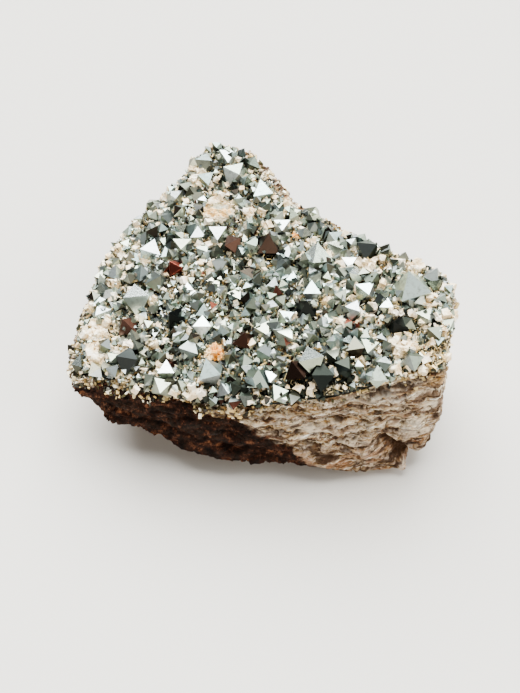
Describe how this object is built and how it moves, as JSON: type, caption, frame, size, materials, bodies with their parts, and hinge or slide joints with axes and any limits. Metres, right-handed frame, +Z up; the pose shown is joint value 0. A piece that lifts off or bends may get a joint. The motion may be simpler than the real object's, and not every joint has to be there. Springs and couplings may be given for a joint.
{
  "type": "magnetite specimen",
  "caption": "Wedge of layered host rock with a druse of metallic magnetite octahedra, feldspar and limonite grains on its upper face, resting on a flat foot.",
  "frame": {"origin": "middle of the bounding box, at the height of the flat foot that it rests on", "axes": "+Z up; +X towards the thick end of the wedge, along its longest side; -Y towards the broken front face"},
  "size_m": [0.0932, 0.0852, 0.0421],
  "materials": {
    "host_rock": "matte",
    "magnetite": "gloss",
    "magnetite_stained": "gloss",
    "feldspar": "satin",
    "limonite": "matte"
  },
  "bodies": {
    "root": {"crystal_crust": "magnetite", "feldspar_01": "feldspar", "feldspar_02": "feldspar", "feldspar_03": "feldspar", "feldspar_04": "feldspar", "feldspar_05": "feldspar", "feldspar_06": "feldspar", "feldspar_07": "feldspar", "host_rock": "host_rock", "limonite_01": "limonite", "limonite_02": "limonite", "octahedron_01": "magnetite", "octahedron_02": "magnetite", "octahedron_03": "magnetite_stained", "octahedron_04": "magnetite_stained", "octahedron_05": "magnetite", "octahedron_06": "magnetite", "octahedron_07": "magnetite", "octahedron_08": "magnetite", "octahedron_09": "magnetite", "octahedron_10": "magnetite", "octahedron_11": "magnetite", "octahedron_12": "magnetite", "octahedron_13": "magnetite", "octahedron_14": "magnetite", "octahedron_15": "magnetite", "octahedron_16": "magnetite", "octahedron_17": "magnetite", "octahedron_18": "magnetite", "octahedron_19": "magnetite", "octahedron_20": "magnetite", "octahedron_21": "magnetite_stained", "octahedron_22": "magnetite", "octahedron_23": "magnetite", "octahedron_24": "magnetite", "octahedron_25": "magnetite", "octahedron_26": "magnetite", "octahedron_27": "magnetite", "octahedron_28": "magnetite", "octahedron_29": "magnetite", "octahedron_30": "magnetite", "octahedron_31": "magnetite", "octahedron_32": "magnetite_stained", "octahedron_33": "magnetite", "octahedron_34": "magnetite", "octahedron_35": "magnetite", "octahedron_36": "magnetite", "octahedron_37": "magnetite", "octahedron_38": "magnetite_stained", "octahedron_39": "magnetite_stained", "octahedron_40": "magnetite", "octahedron_41": "magnetite", "octahedron_42": "magnetite", "octahedron_43": "magnetite", "octahedron_44": "magnetite", "octahedron_45": "magnetite", "octahedron_46": "magnetite", "octahedron_47": "magnetite"}
  },
  "joints": []
}
